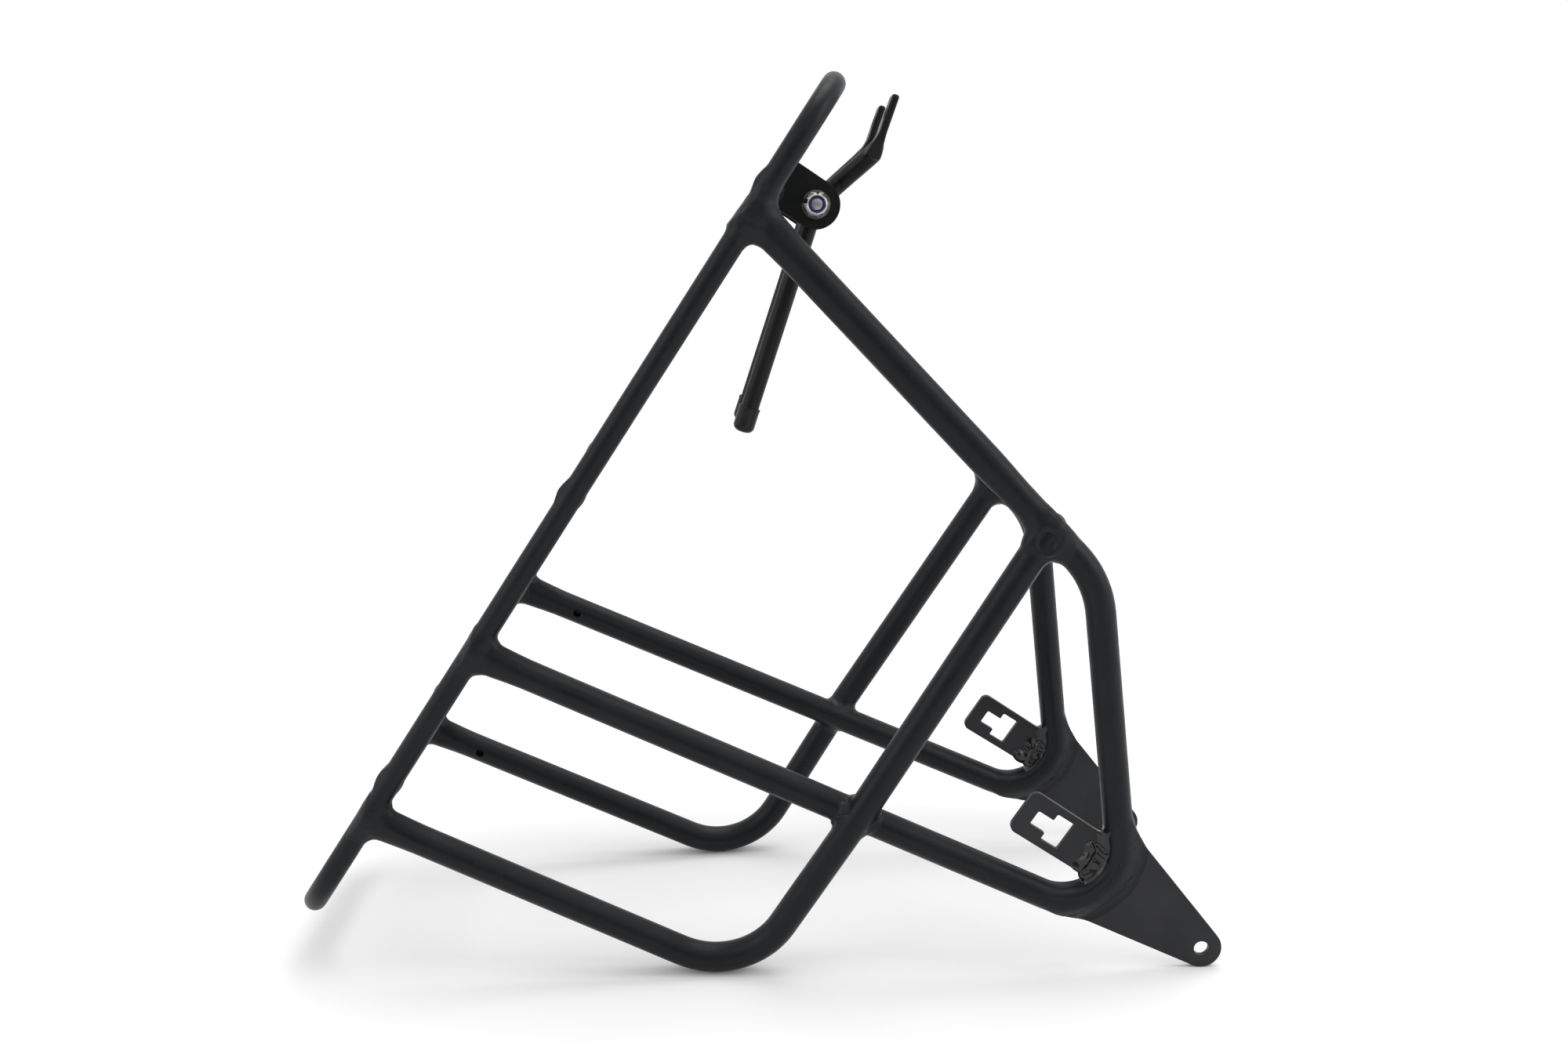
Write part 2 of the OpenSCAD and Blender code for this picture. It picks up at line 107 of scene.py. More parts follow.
# Mesh fineness
TUBE_SEGMENTS, TURNED_SEGMENTS, HEX_SEGMENTS = 44, 48, 72
BEND_STEP, STRAIGHT_STEP = 4.0, 6.0
WELD_CELL, CROSSING_CELL, COARSE_CELL, SMALL_CELL = 0.6, 0.65, 0.7, 0.5
# A turned face closes at this radius instead of in a point
AXIS_R = 0.02


# ---------------------------------------------------------------- placing

def centre_of(node):
    lo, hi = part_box(node)
    return np.array((lo + hi) / 2) / MM


def unit(v):
    v = np.asarray(v, float)
    return v / np.linalg.norm(v)


front_cross = centre_of("cross_tube_front")
rear_cross = centre_of("cross_tube_rear")
FORWARD = unit(front_cross - rear_cross)
AXES = np.column_stack((FORWARD, ALONG_Y, np.cross(FORWARD, ALONG_Y)))
ORIGIN = front_cross - FORWARD * CROSS_X[0]


def put(points):
    """Carrier millimetres to row metres."""
    return (np.asarray(points, float) @ AXES.T + ORIGIN) * MM


def in_leg_plane(points, side):
    """Points (x, out, z) of one side's leg plane to carrier axes."""
    p = np.asarray(points, float)
    a = side * SPLAY
    y = side * HALF_WIDTH + side * p[:, 1] * math.cos(a) - p[:, 2] * math.sin(a)
    z = side * p[:, 1] * math.sin(a) + p[:, 2] * math.cos(a)
    return np.column_stack((p[:, 0], y, z))


def mirrored(points, side):
    return np.asarray(points, float) * (1, side, 1)


# ---------------------------------------------------------------- meshes

def add_mesh(name, verts, faces, material, body, slot, replaces, bevel=0.0, sharp=None):
    """One finished piece: carrier millimetres in, a smooth-shaded object on its body out."""
    mesh = bpy.data.meshes.new(name)
    mesh.from_pydata([tuple(v) for v in put(verts)], [], [tuple(int(i) for i in f) for f in faces])
    mesh.update()
    bm = bmesh.new()
    bm.from_mesh(mesh)
    bmesh.ops.recalc_face_normals(bm, faces=bm.faces)
    bm.to_mesh(mesh)
    bm.free()
    mesh.shade_smooth()
    obj = bpy.data.objects.new(name, mesh)
    bpy.context.scene.collection.objects.link(obj)
    mesh.materials.append(material)
    if bevel:
        mod = obj.modifiers.new("edge", "BEVEL")
        mod.width, mod.segments, mod.limit_method = bevel * MM, 3, "ANGLE"
        mod.angle_limit = math.radians(40)
        mod.harden_normals = True
    if sharp:
        mesh.set_sharp_from_angle(angle=math.radians(sharp))
    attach(obj, body)
    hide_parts(replaces)
    return obj


def arc(cx, cy, r, start, end, steps):
    """Points on an arc between two angles in degrees, ends included."""
    angles = [math.radians(start + (end - start) * k / steps) for k in range(steps + 1)]
    return [(cx + r * math.cos(a), cy + r * math.sin(a)) for a in angles]


def bent(points, radii, bend_step=BEND_STEP, straight_step=STRAIGHT_STEP):
    """Samples along a path whose inner corners are rounded, ends included."""
    pts = [np.asarray(p, float) for p in points]
    out = []
    cursor = pts[0]

    def straight(a, b):
        n = max(int(np.linalg.norm(b - a) / straight_step), 1)
        out.extend(a + (b - a) * k / n for k in range(n))

    for i in range(1, len(pts) - 1):
        d1, d2 = unit(pts[i] - pts[i - 1]), unit(pts[i + 1] - pts[i])
        turn = math.acos(max(-1.0, min(1.0, float(d1 @ d2))))
        start = pts[i] - d1 * radii[i] * math.tan(turn / 2)
        straight(cursor, start)
        towards = np.cross(unit(np.cross(d1, d2)), d1)
        centre = start + towards * radii[i]
        n = max(int(math.degrees(turn) / bend_step), 3)
        for k in range(n + 1):
            a = turn * k / n
            out.append(centre + radii[i] * (d1 * math.sin(a) - towards * math.cos(a)))
        cursor = out.pop()
    straight(cursor, pts[-1])
    out.append(pts[-1])
    return np.array(out)


def sweep(path, ref, radii, closed=False):
    """A solid bar along path. radii(distance, left) gives the half-sizes across ref and along it."""
    n, seg = len(path), TUBE_SEGMENTS
    ref = np.asarray(ref, float)
    dist = np.concatenate(([0], np.cumsum(np.linalg.norm(np.diff(path, axis=0), axis=1))))
    angles = np.linspace(0, 2 * math.pi, seg, endpoint=False)
    verts, faces = [], []
    for i in range(n):
        if closed:
            t = unit(path[(i + 1) % n] - path[i - 1])
        else:
            t = unit(path[min(i + 1, n - 1)] - path[max(i - 1, 0)])
        e2 = unit(ref - t * (ref @ t))
        e1 = np.cross(e2, t)
        a, b = radii(dist[i], dist[-1] - dist[i])
        verts.extend(path[i] + a * math.cos(w) * e1 + b * math.sin(w) * e2 for w in angles)
    for i in range(n if closed else n - 1):
        j = (i + 1) % n
        for k in range(seg):
            m = (k + 1) % seg
            faces.append((i * seg + k, i * seg + m, j * seg + m, j * seg + k))
    if not closed:
        faces.append(tuple(range(seg)))
        faces.append(tuple((n - 1) * seg + k for k in range(seg)))
    return verts, faces


def lathe(profile, origin, axis, e1, segments=TURNED_SEGMENTS):
    """A closed profile [(distance along axis, radius)] turned about the axis through origin."""
    axis, e1 = np.asarray(axis, float), np.asarray(e1, float)
    e2 = np.cross(e1, axis)
    verts, faces = [], []
    n = len(profile)
    for k in range(segments):
        a = 2 * math.pi * k / segments
        m = (k + 1) % segments
        outward = e1 * math.cos(a) + e2 * math.sin(a)
        verts.extend(origin + axis * along + r * outward for along, r in profile)
        for i in range(n):
            j = (i + 1) % n
            faces.append((k * n + i, k * n + j, m * n + j, m * n + i))
    return verts, faces


# ---------------------------------------------------------------- distance fields for welds and forgings

def smooth(t):
    t = np.clip(t, 0, 1)
    return t * t * (3 - 2 * t)


def wobble(p, scale, seed):
    """Smooth, repeatable lumps of about the given size in mm, seldom beyond -1 and 1."""
    rng = np.random.RandomState(seed)
    out = np.zeros(len(p))
    for _ in range(7):
        k = rng.normal(size=3)
        k *= 2 * math.pi / (scale * rng.uniform(0.7, 1.6) * np.linalg.norm(k))
        out += np.sin(p @ k + rng.uniform(0, 2 * math.pi))
    return out / 4.0


def d_ball(p, centre, r):
    return np.linalg.norm(p - centre, axis=1) - r


def d_bar(p, a, b, r):
    a, b = np.asarray(a, float), np.asarray(b, float)
    d = b - a
    t = np.clip((p - a) @ d / (d @ d), 0, 1)
    return np.linalg.norm(p - a - t[:, None] * d, axis=1) - r


def d_path(p, path, r):
    return np.min([d_bar(p, a, b, r) for a, b in zip(path[:-1], path[1:])], axis=0)


def d_outline(q, outline):
    """Signed distance from 2D points q to a polygon."""
    poly = np.asarray(outline, float)
    best = np.full(len(q), np.inf)
    inside = np.zeros(len(q), bool)
    for a, b in zip(poly, np.roll(poly, -1, axis=0)):
        e, w = b - a, q - a
        t = np.clip((w @ e) / (e @ e), 0, 1)
        best = np.minimum(best, np.linalg.norm(w - t[:, None] * e, axis=1))
        if abs(e[1]) > 1e-9:
            spans = (a[1] > q[:, 1]) != (b[1] > q[:, 1])
            inside ^= spans & (q[:, 0] < e[0] * (q[:, 1] - a[1]) / e[1] + a[0])
    return np.where(inside, -best, best)


def smin(a, b, k):
    h = np.maximum(k - np.abs(a - b), 0) / k
    return np.minimum(a, b) - h * h * k / 4


def smax(a, b, k):
    return -smin(-a, -b, k)


def grid_points(lo, n, step):
    return np.stack(np.meshgrid(*[lo[i] + step * np.arange(n[i]) for i in range(3)], indexing="ij"), -1)


def sampled(field, lo, n, h):
    """The field on a grid. Blocks of cells that the surface can't reach keep their middle's value."""
    block, slack = 6, 1.5
    tiles = -(-n // block)
    f = field(grid_points(lo + h * block / 2, tiles, h * block).reshape(-1, 3)).reshape(tiles)
    for axis in range(3):
        f = np.repeat(f, block, axis=axis)
    f = f[:n[0], :n[1], :n[2]].copy()
    near = np.abs(f) < h * block + slack
    f[near] = field(grid_points(lo, n, h)[near])
    return f


def cut_cells(f, n):
    """The cells that the surface passes through, and the mean of its cuts through each one's edges."""
    total = np.zeros(tuple(n - 1) + (3,))
    count = np.zeros(tuple(n - 1))
    for axis in range(3):
        o1, o2 = [a for a in range(3) if a != axis]
        for s1, s2 in ((0, 0), (0, 1), (1, 0), (1, 1)):
            start = [0, 0, 0]
            start[o1], start[o2] = s1, s2
            end = list(start)
            end[axis] = 1
            fa, fb = [f[tuple(slice(c[i], c[i] + n[i] - 1) for i in range(3))] for c in (start, end)]
            cut = (fa < 0) != (fb < 0)
            at = [np.where(cut, float(start[i]), 0) for i in range(3)]
            at[axis] = np.where(cut, fa / np.where(cut, fa - fb, 1), 0)
            total += np.stack(at, -1)
            count += cut
    used = count > 0
    return used, total[used] / count[used][:, None]


def quads_round_edges(f, n, index):
    """A quad of four neighbouring cells' vertices round each grid edge that the surface cuts."""
    faces = []
    for axis in range(3):
        o1, o2 = (axis + 1) % 3, (axis + 2) % 3
        a = [slice(1, n[i] - 1) for i in range(3)]
        a[axis] = slice(0, n[axis] - 1)
        b = list(a)
        b[axis] = slice(1, n[axis])
        below = f[tuple(a)] < 0
        cut = np.stack(np.nonzero(below != (f[tuple(b)] < 0)), -1)
        if not len(cut):
            continue
        base = cut + [0 if i == axis else 1 for i in range(3)]
        quad = []
        for s1, s2 in ((1, 1), (0, 1), (0, 0), (1, 0)):
            cell = base.copy()
            cell[:, o1] -= s1
            cell[:, o2] -= s2
            quad.append(index[tuple(cell.T)])
        quad = np.stack(quad, -1)
        turned = ~below[tuple(cut.T)]
        quad[turned] = quad[turned][:, ::-1]
        faces.append(quad)
    return np.concatenate(faces)


def surface(field, lo, hi, h):
    """Vertices and quads of field = 0 inside the box, by surface nets with the points pulled onto it."""
    lo, hi = np.asarray(lo, float), np.asarray(hi, float)
    n = np.ceil((hi - lo) / h).astype(int) + 1
    f = sampled(field, lo, n, h)
    used, cuts = cut_cells(f, n)
    index = np.full(used.shape, -1)
    index[used] = np.arange(used.sum())
    verts = lo + h * (np.stack(np.nonzero(used), -1) + cuts)
    eps, furthest, least_slope = h * 0.2, h * 0.4, 0.2
    for _ in range(2):
        grad = np.stack([field(verts + e) - field(verts - e) for e in np.eye(3) * eps], -1) / (2 * eps)
        slope = np.maximum((grad ** 2).sum(-1), least_slope)
        move = -(field(verts) / slope)[:, None] * grad
        verts = verts + np.clip(move, -furthest, furthest)
    return verts, quads_round_edges(f, n, index)


def blended(parts, k, centre, reach, ripple, lumps, seed, extra=None):
    """The skin of a welded joint inside a ball.

    The first part is blended with the rest over a size k, with ripples and lumps on the weld alone.
    Elsewhere the skin lies a hair under the parts' own surfaces, so only the weld shows.
    """
    centre = np.asarray(centre, float)
    ripple_size, lump_size, hair = 2.6, 7.0, 0.05

    def field(p):
        first = parts[0](p)
        rest = np.min([part(p) for part in parts[1:]], axis=0)
        both = np.clip(1 - np.abs(first - rest) / k, 0, 1)
        rough = ripple * wobble(p, ripple_size, seed) + lumps * wobble(p, lump_size, seed + 1)
        out = smin(first, rest, k) - both * rough
        if extra:
            out = extra(p, out, first, rest)
        return np.maximum(out + hair, d_ball(p, centre, reach))
    return field


# ---------------------------------------------------------------- materials

def new_material(name):
    """A material's node tree, its shader and the piece's own coordinates in metres."""
    mat = bpy.data.materials.new(name)
    mat.use_nodes = True
    tree = mat.node_tree
    coord = tree.nodes.new("ShaderNodeTexCoord").outputs["Object"]
    return mat, tree, tree.nodes["Principled BSDF"], coord


def noise(tree, coord, scale, detail=3.0, rough=0.55):
    node = tree.nodes.new("ShaderNodeTexNoise")
    node.inputs["Scale"].default_value = scale
    node.inputs["Detail"].default_value = detail
    node.inputs["Roughness"].default_value = rough
    tree.links.new(coord, node.inputs["Vector"])
    return node.outputs["Fac"]


def remap(tree, value, low, high, to_low, to_high):
    node = tree.nodes.new("ShaderNodeMapRange")
    for key, v in (("From Min", low), ("From Max", high), ("To Min", to_low), ("To Max", to_high)):
        node.inputs[key].default_value = v
    tree.links.new(value, node.inputs["Value"])
    return node.outputs["Result"]


def mix(tree, factor, a, b):
    """A colour between a and b; each is a colour or another node's output."""
    node = tree.nodes.new("ShaderNodeMix")
    node.data_type = "RGBA"
    tree.links.new(factor, node.inputs["Factor"])
    for key, v in (("A", a), ("B", b)):
        socket = [s for s in node.inputs if s.name == key and s.type == "RGBA"][0]
        if isinstance(v, tuple):
            socket.default_value = v + (1.0,)
        else:
            tree.links.new(v, socket)
    return [s for s in node.outputs if s.type == "RGBA"][0]


def bump(tree, shader, layers):
    """Chained bumps: (height, distance in metres, strength)."""
    normal = None
    for height, distance, strength in layers:
        node = tree.nodes.new("ShaderNodeBump")
        node.inputs["Distance"].default_value = distance
        node.inputs["Strength"].default_value = strength
        tree.links.new(height, node.inputs["Height"])
        if normal:
            tree.links.new(normal, node.inputs["Normal"])
        normal = node.outputs["Normal"]
    tree.links.new(normal, shader.inputs["Normal"])


def gloss(tree, shader, value, low, high):
    """Roughness that wanders between low and high with a noise."""
    tree.links.new(remap(tree, value, 0.3, 0.7, low, high), shader.inputs["Roughness"])


def powder_coat(name, dark, light, rough, ior, peel=0.35, specks=True):
    """Satin black powder coat: fine orange peel, slow gloss changes, a few pale dust specks."""
    mat, tree, shader, coord = new_material(name)
    slow = noise(tree, coord, 45, 2)
    colour = mix(tree, remap(tree, slow, 0.35, 0.65, 0, 1), dark, light)
    if specks:
        dust = remap(tree, noise(tree, coord, 900, 1), 0.80, 0.83, 0, 1)
        colour = mix(tree, dust, colour, (0.06, 0.06, 0.06))
    tree.links.new(colour, shader.inputs["Base Color"])
    gloss(tree, shader, noise(tree, coord, 160, 3), rough - 0.05, rough + 0.07)
    shader.inputs["IOR"].default_value = ior
    coarse, fine = noise(tree, coord, 620, 2), noise(tree, coord, 2600, 1)
    bump(tree, shader, ((coarse, 0.00006, peel), (fine, 0.00002, peel)))
    return mat


def bare_steel(name, colour, rough, rings=False):
    """Zinc-plated or bare steel with tumbling scratches, patches of painted dark reflection, and turning
    rings round the pivot.
    """
    mat, tree, shader, coord = new_material(name)
    shader.inputs["Metallic"].default_value = 1.0
    # Painted reflection: noise patches 38% darker than the steel stand in for dark surroundings mirrored in
    # the metal
    painted_dark_reflection = tuple(c * 0.62 for c in colour)
    painted_reflection_mask = remap(tree, noise(tree, coord, 380, 4, 0.7), 0.42, 0.75, 0, 1)
    tree.links.new(mix(tree, painted_reflection_mask, colour, painted_dark_reflection), shader.inputs["Base Color"])
    gloss(tree, shader, noise(tree, coord, 900, 3), rough - 0.08, rough + 0.12)
    layers = [(noise(tree, coord, 2200, 3, 0.7), 0.00003, 0.4)]
    if rings:
        shift = tree.nodes.new("ShaderNodeMapping")
        shift.inputs["Location"].default_value = tuple(-put([(PIVOT[0], 0, PIVOT[1])])[0])
        tree.links.new(coord, shift.inputs["Vector"])
        wave = tree.nodes.new("ShaderNodeTexWave")
        wave.wave_type, wave.rings_direction = "RINGS", "Y"
        wave.inputs["Scale"].default_value = 700
        wave.inputs["Distortion"].default_value = 0.6
        tree.links.new(shift.outputs["Vector"], wave.inputs["Vector"])
        layers.append((wave.outputs["Fac"], 0.00003, 0.35))
    bump(tree, shader, layers)
    return mat


def plastic(name, colour, pale, rough, ior, grain):
    """Nylon or rubber: mottled between two colours, with a fine grain."""
    mat, tree, shader, coord = new_material(name)
    tree.links.new(mix(tree, noise(tree, coord, 300, 3), colour, pale), shader.inputs["Base Color"])
    gloss(tree, shader, noise(tree, coord, 700, 2), rough - 0.06, rough + 0.08)
    shader.inputs["IOR"].default_value = ior
    bump(tree, shader, ((noise(tree, coord, 1500, 3), 0.00004, grain),))
    return mat


# The same coat looks slightly different on tube, sheet, weld and rod
COAT = powder_coat("black_powder_coat", (0.0024, 0.0032, 0.0044), (0.0038, 0.0050, 0.0066), 0.38, 1.29)
# Painted light: this copy of the coat for the plates and tabs has a base about five times lighter than the
# tubes', for the light that the flat sheets catch
SHEET_COAT_PAINTED_LIGHTER = powder_coat("black_powder_coat_sheet_painted_lighter", (0.0145, 0.0150, 0.0165), (0.0190, 0.0196, 0.0212),
                         0.36, 1.28, 0.45)
BRACKET_COAT = powder_coat("black_powder_coat_bracket", (0.0026, 0.0030, 0.0033), (0.0042, 0.0047, 0.0050),
                           0.40, 1.27)
WELD_COAT = powder_coat("black_powder_coat_weld", (0.0030, 0.0040, 0.0052), (0.0048, 0.0061, 0.0076),
                        0.38, 1.30, 0.4, False)
LUMP_COAT = powder_coat("black_powder_coat_lumps", (0.0016, 0.0017, 0.0019), (0.0030, 0.0032, 0.0035),
                        0.13, 1.50, 0.15, False)
ROD_COAT = powder_coat("black_powder_coat_rod", (0.0022, 0.0023, 0.0027), (0.0036, 0.0037, 0.0042),
                       0.36, 1.29, 0.4)
STEEL = bare_steel("zinc_steel", (0.15, 0.135, 0.127), 0.14)
# Painted highlight: the nut's rolled lip is the nut's own zinc steel, made over four times lighter so that
# its rim shows as catching the light
NUT_LIP_PAINTED_HIGHLIGHT_STEEL = bare_steel("zinc_steel_lip_painted_highlight", (0.66, 0.65, 0.64), 0.14)
WASHER_STEEL = bare_steel("zinc_washer", (0.115, 0.100, 0.092), 0.20, True)
BOLT_STEEL = bare_steel("bolt_end_steel", (0.34, 0.35, 0.36), 0.34)
DARK_WASHER = bare_steel("black_oxide_steel", (0.05, 0.05, 0.055), 0.38)
NYLON = plastic("blue_nylon", (0.010, 0.005, 0.060), (0.015, 0.008, 0.085), 0.38, 1.42, 0.3)
RUBBER = plastic("black_rubber", (0.0016, 0.0016, 0.0018), (0.0030, 0.0030, 0.0033), 0.30, 1.33, 0.5)


def coated(name, shape, node, coat=COAT, bevel=0.0):
    """A piece of the welded frame under powder coat."""
    return add_mesh(name, *shape, coat, "frame", "black_powder_coat", node, bevel=bevel)


# ---------------------------------------------------------------- platform

def platform_size(here, left):
    return PLATFORM_R, PLATFORM_R


def platform_path():
    """The loop's centre line, from its front left corner all the way round."""
    front, rear, out = -CORNER_R, CORNER_R - PLATFORM_LENGTH, HALF_WIDTH - CORNER_R
    centres = ((front, out, 0), (rear, out, 90), (rear, -out, 180), (front, -out, 270))
    corners = [np.array(arc(x, y, CORNER_R, turn, turn + 90, 24)) for x, y, turn in centres]
    points = []
    for i, corner in enumerate(corners):
        last, following = corner[-1], corners[(i + 1) % 4][0]
        steps = max(int(np.linalg.norm(following - last) / STRAIGHT_STEP), 1)
        points += list(corner) + [last + (following - last) * k / steps for k in range(1, steps)]
    return np.array([(x, y, 0) for x, y in points])


def cross_tube_path(x):
    """From side tube to side tube, ending just inside them."""
    ys = np.linspace(-HALF_WIDTH + 1, HALF_WIDTH - 1, 24)
    return np.column_stack((np.full(24, x), ys, np.zeros(24)))


coated("platform_loop_tube", sweep(platform_path(), (0, 0, 1), platform_size, closed=True), "platform_loop")
for node, x in zip(("cross_tube_front", "cross_tube_middle", "cross_tube_rear"), CROSS_X):
    coated(node + "_bar", sweep(cross_tube_path(x), (0, 0, 1), platform_size), node)


# ---------------------------------------------------------------- legs and side rails

LEG_BEND = bent([(x, 0, z) for x, z in LEG_PATH], LEG_RADII)


def squash(near_end, wide=FRAME_R, thin=FRAME_R):
    """Half-sizes of a tube near_end millimetres from the platform, where it is pressed flatter."""
    k = smooth(1 - near_end / SQUASH)
    return wide + (WIDE_END - wide) * k, thin + (THIN_END - thin) * k


def leg_sizes(here, left):
    k = smooth((OVAL_TO - here) / (OVAL_TO - OVAL_FROM))
    wide, thin = FRAME_R + (OVAL_WIDE - FRAME_R) * k, FRAME_R + (OVAL_THIN - FRAME_R) * k
    return squash(min(here, left), wide, thin)


def rail_points(side):
    return mirrored(bent(RAIL_PATH, RAIL_RADII), side)


def rail_tube(side):
    """Swept rail; its front end is a dome that the weld onto the leg smooths over."""
    path = rail_points(side)
    d = unit(path[1] - path[0])
    angles = np.radians(np.linspace(4, 84, 9))
    dome = np.array([path[0] - d * FRAME_R * math.cos(a) for a in angles])
    dome_length = FRAME_R * math.cos(angles[0])
    smallest = 0.1

    def sizes(here, left):
        back = dome_length - here
        if back <= 0:
            return squash(left)
        r = max(math.sqrt(max(FRAME_R ** 2 - back ** 2, 0)), smallest)
        return r, r
    return sweep(np.concatenate((dome, path)), ALONG_Y, sizes)


def cut_vent(obj, at):
    """A blind vent hole into the tube's inner face, cut for good."""
    steps = 24
    ring = arc(at[0], at[2], VENT_R, VENT_TURN, VENT_TURN - 360, steps)[:-1]
    verts = [(x, at[1] + end * VENT_DEPTH, z) for end in (-1, 1) for x, z in ring]
    faces = [tuple(range(steps))[::-1], tuple(range(steps, 2 * steps))]
    faces += [(k, (k + 1) % steps, steps + (k + 1) % steps, steps + k) for k in range(steps)]
    mesh = bpy.data.meshes.new("cutter")
    mesh.from_pydata([tuple(v) for v in put(verts)], [], faces)
    cutter = bpy.data.objects.new("cutter", mesh)
    bpy.context.scene.collection.objects.link(cutter)
    mod = obj.modifiers.new("hole", "BOOLEAN")
    mod.operation, mod.solver, mod.object = "DIFFERENCE", "EXACT", cutter
    bpy.context.view_layer.update()
    made = bpy.data.meshes.new_from_object(obj.evaluated_get(bpy.context.evaluated_depsgraph_get()))
    obj.modifiers.remove(mod)
    obj.data = made
    bpy.data.objects.remove(cutter)
    made.set_sharp_from_angle(angle=math.radians(38))


for side, word in SIDES:
    leg = coated(word + "_leg_tube", sweep(in_leg_plane(LEG_BEND, side), ALONG_Y, leg_sizes),
                 word + "_leg_loop")
    lean = -LEG_VENT[1] * math.tan(SPLAY)
    cut_vent(leg, (LEG_VENT[0], side * (HALF_WIDTH + lean - FRAME_R), LEG_VENT[1]))
    rail = coated(word + "_rail_tube", rail_tube(side), word + "_side_rail")
    cut_vent(rail, (RAIL_VENT[0], side * (HALF_WIDTH + RAIL_VENT_OUT - FRAME_R), RAIL_VENT[1]))


# ---------------------------------------------------------------- sheet-metal parts

def bend_centre():
    """The middle of the leg's tight bend, which the dropout plate and the strap tab are welded to."""
    a, b, c = (np.array(p, float) for p in LEG_PATH[1:])
    d1, d2 = unit(b - a), unit(c - b)
    turn = math.acos(float(d1 @ d2))
    return b + unit(d2 - d1) * TIGHT_R / math.cos(turn / 2)


BEND = bend_centre()


def tip_angle(p, side):
    """Where round the plate's tip, in degrees, a line from p touches it on one side."""
    d = np.array(p, float) - HOLE
    a = math.atan2(d[1], d[0]) + side * math.acos(TIP_R / np.linalg.norm(d))
    return math.degrees(a) % 360


def dropout_outline():
    seat = arc(*BEND, TIGHT_R, 312, 208, 20)
    tip = arc(*HOLE, TIP_R, tip_angle(PLATE_REAR[1], 1), tip_angle(PLATE_FRONT[0], -1), 24)
    return list(PLATE_FRONT) + seat + list(PLATE_REAR) + tip


def tab_outline():
    half, r = TAB_WIDTH / 2, TAB_CORNER
    edges = TAB_X - half - BEND[0], TAB_X + half - BEND[0]
    a0, a1 = (math.degrees(math.atan2(-math.sqrt(TIGHT_R ** 2 - x ** 2), x)) for x in edges)
    out = arc(TAB_X + half - r, TAB_END - r, r, 0, 90, 8) + arc(TAB_X - half + r, TAB_END - r, r, 90, 180, 8)
    return out + arc(*BEND, TIGHT_R - 1, a0, a1, 10)


def slot_outline():
    """The strap slot: narrow at the tab's free end, then wide."""
    narrow, wide, r = SLOT_NARROW / 2, SLOT_WIDE / 2, SLOT_CORNER

    def corner(half, z, start):
        across = TAB_X + half - math.copysign(r, half)
        return arc(across, z, r, start, start + 90, 4)
    points = corner(narrow, SLOT_START - r, 0) + corner(-narrow, SLOT_START - r, 90)
    points += [(TAB_X - narrow, SLOT_STEP)]
    points += corner(-wide, SLOT_STEP - r, 90) + corner(-wide, SLOT_END + r, 180)
    points += corner(wide, SLOT_END + r, 270) + corner(wide, SLOT_STEP - r, 0)
    return points + [(TAB_X + narrow, SLOT_STEP)]


def bracket_outline():
    return arc(*PIVOT, BRACKET_R, 180, 360, 28) + [(PIVOT[0] + BRACKET_R, 0.0), (PIVOT[0] - BRACKET_R, 0.0)]


def round_hole(centre, r):
    return arc(*centre, r, 0, 345, 23)


def sheet(outline, hole, thick):
    """Vertices (x, out, z) and faces of a flat sheet with one hole."""
    bm = bmesh.new()
    edges = []
    for loop in (outline, hole):
        vs = [bm.verts.new((x, 0, z)) for x, z in loop]
        edges += [bm.edges.new((vs[i], vs[(i + 1) % len(vs)])) for i in range(len(vs))]
    bmesh.ops.triangle_fill(bm, use_beauty=True, use_dissolve=True, edges=edges, normal=ALONG_Y)
    bmesh.ops.solidify(bm, geom=bm.faces[:], thickness=thick)
    ys = [v.co.y for v in bm.verts]
    middle = (max(ys) + min(ys)) / 2
    bm.verts.ensure_lookup_table()
    verts = np.array([(v.co.x, v.co.y - middle, v.co.z) for v in bm.verts])
    faces = [tuple(v.index for v in f.verts) for f in bm.faces]
    bm.free()
    return verts, faces


for side, word in SIDES:
    # Dropout plates and strap tabs take the copy of the coat with painted light
    v, f = sheet(dropout_outline(), round_hole(HOLE, HOLE_R), SHEET)
    coated(word + "_dropout_sheet", (in_leg_plane(v, side), f), word + "_dropout_plate", SHEET_COAT_PAINTED_LIGHTER, 0.45)
    v, f = sheet(tab_outline(), slot_outline(), SHEET)
    coated(word + "_strap_tab_sheet", (in_leg_plane(v, side), f), word + "_strap_tab", SHEET_COAT_PAINTED_LIGHTER, 0.4)
for side, word in SIDES:
    v, f = sheet(bracket_outline(), round_hole(PIVOT, BOLT_R + 0.2), BRACKET_SHEET)
    v = v + (0, side * (BRACKET_IN + BRACKET_SHEET / 2), 0)
    coated(word + "_bracket_sheet", (v, f), word + "_bracket_plate", BRACKET_COAT, 0.4)


# ---------------------------------------------------------------- welds

def weld(name, field, centre, reach, h, node, side=None, material=WELD_COAT):
    """A weld skin inside a ball; side means the field is in that side's leg plane."""
    centre = np.asarray(centre, float)
    v, f = surface(field, centre - reach - h, centre + reach + h, h)
    if side:
        v = in_leg_plane(v, side)
    add_mesh(name, v, f, material, "frame", "coated_weld", node)


def side_tube(side):
    return lambda p: np.hypot(p[:, 1] - side * HALF_WIDTH, p[:, 2]) - PLATFORM_R


def cross_tube(x):
    return lambda p: np.maximum(np.hypot(p[:, 0] - x, p[:, 2]) - PLATFORM_R, np.abs(p[:, 1]) - HALF_WIDTH)


def near_path(path, centre, reach):
    """The stretch of a 13 mm tube within reach of centre."""
    stretch = path[np.linalg.norm(path - centre, axis=1) < reach]
    return lambda p: d_path(p, stretch, FRAME_R)


def flat_sheet(outline):
    return lambda p: smax(d_outline(p[:, (0, 2)], outline), np.abs(p[:, 1]) - SHEET / 2, 0.3)


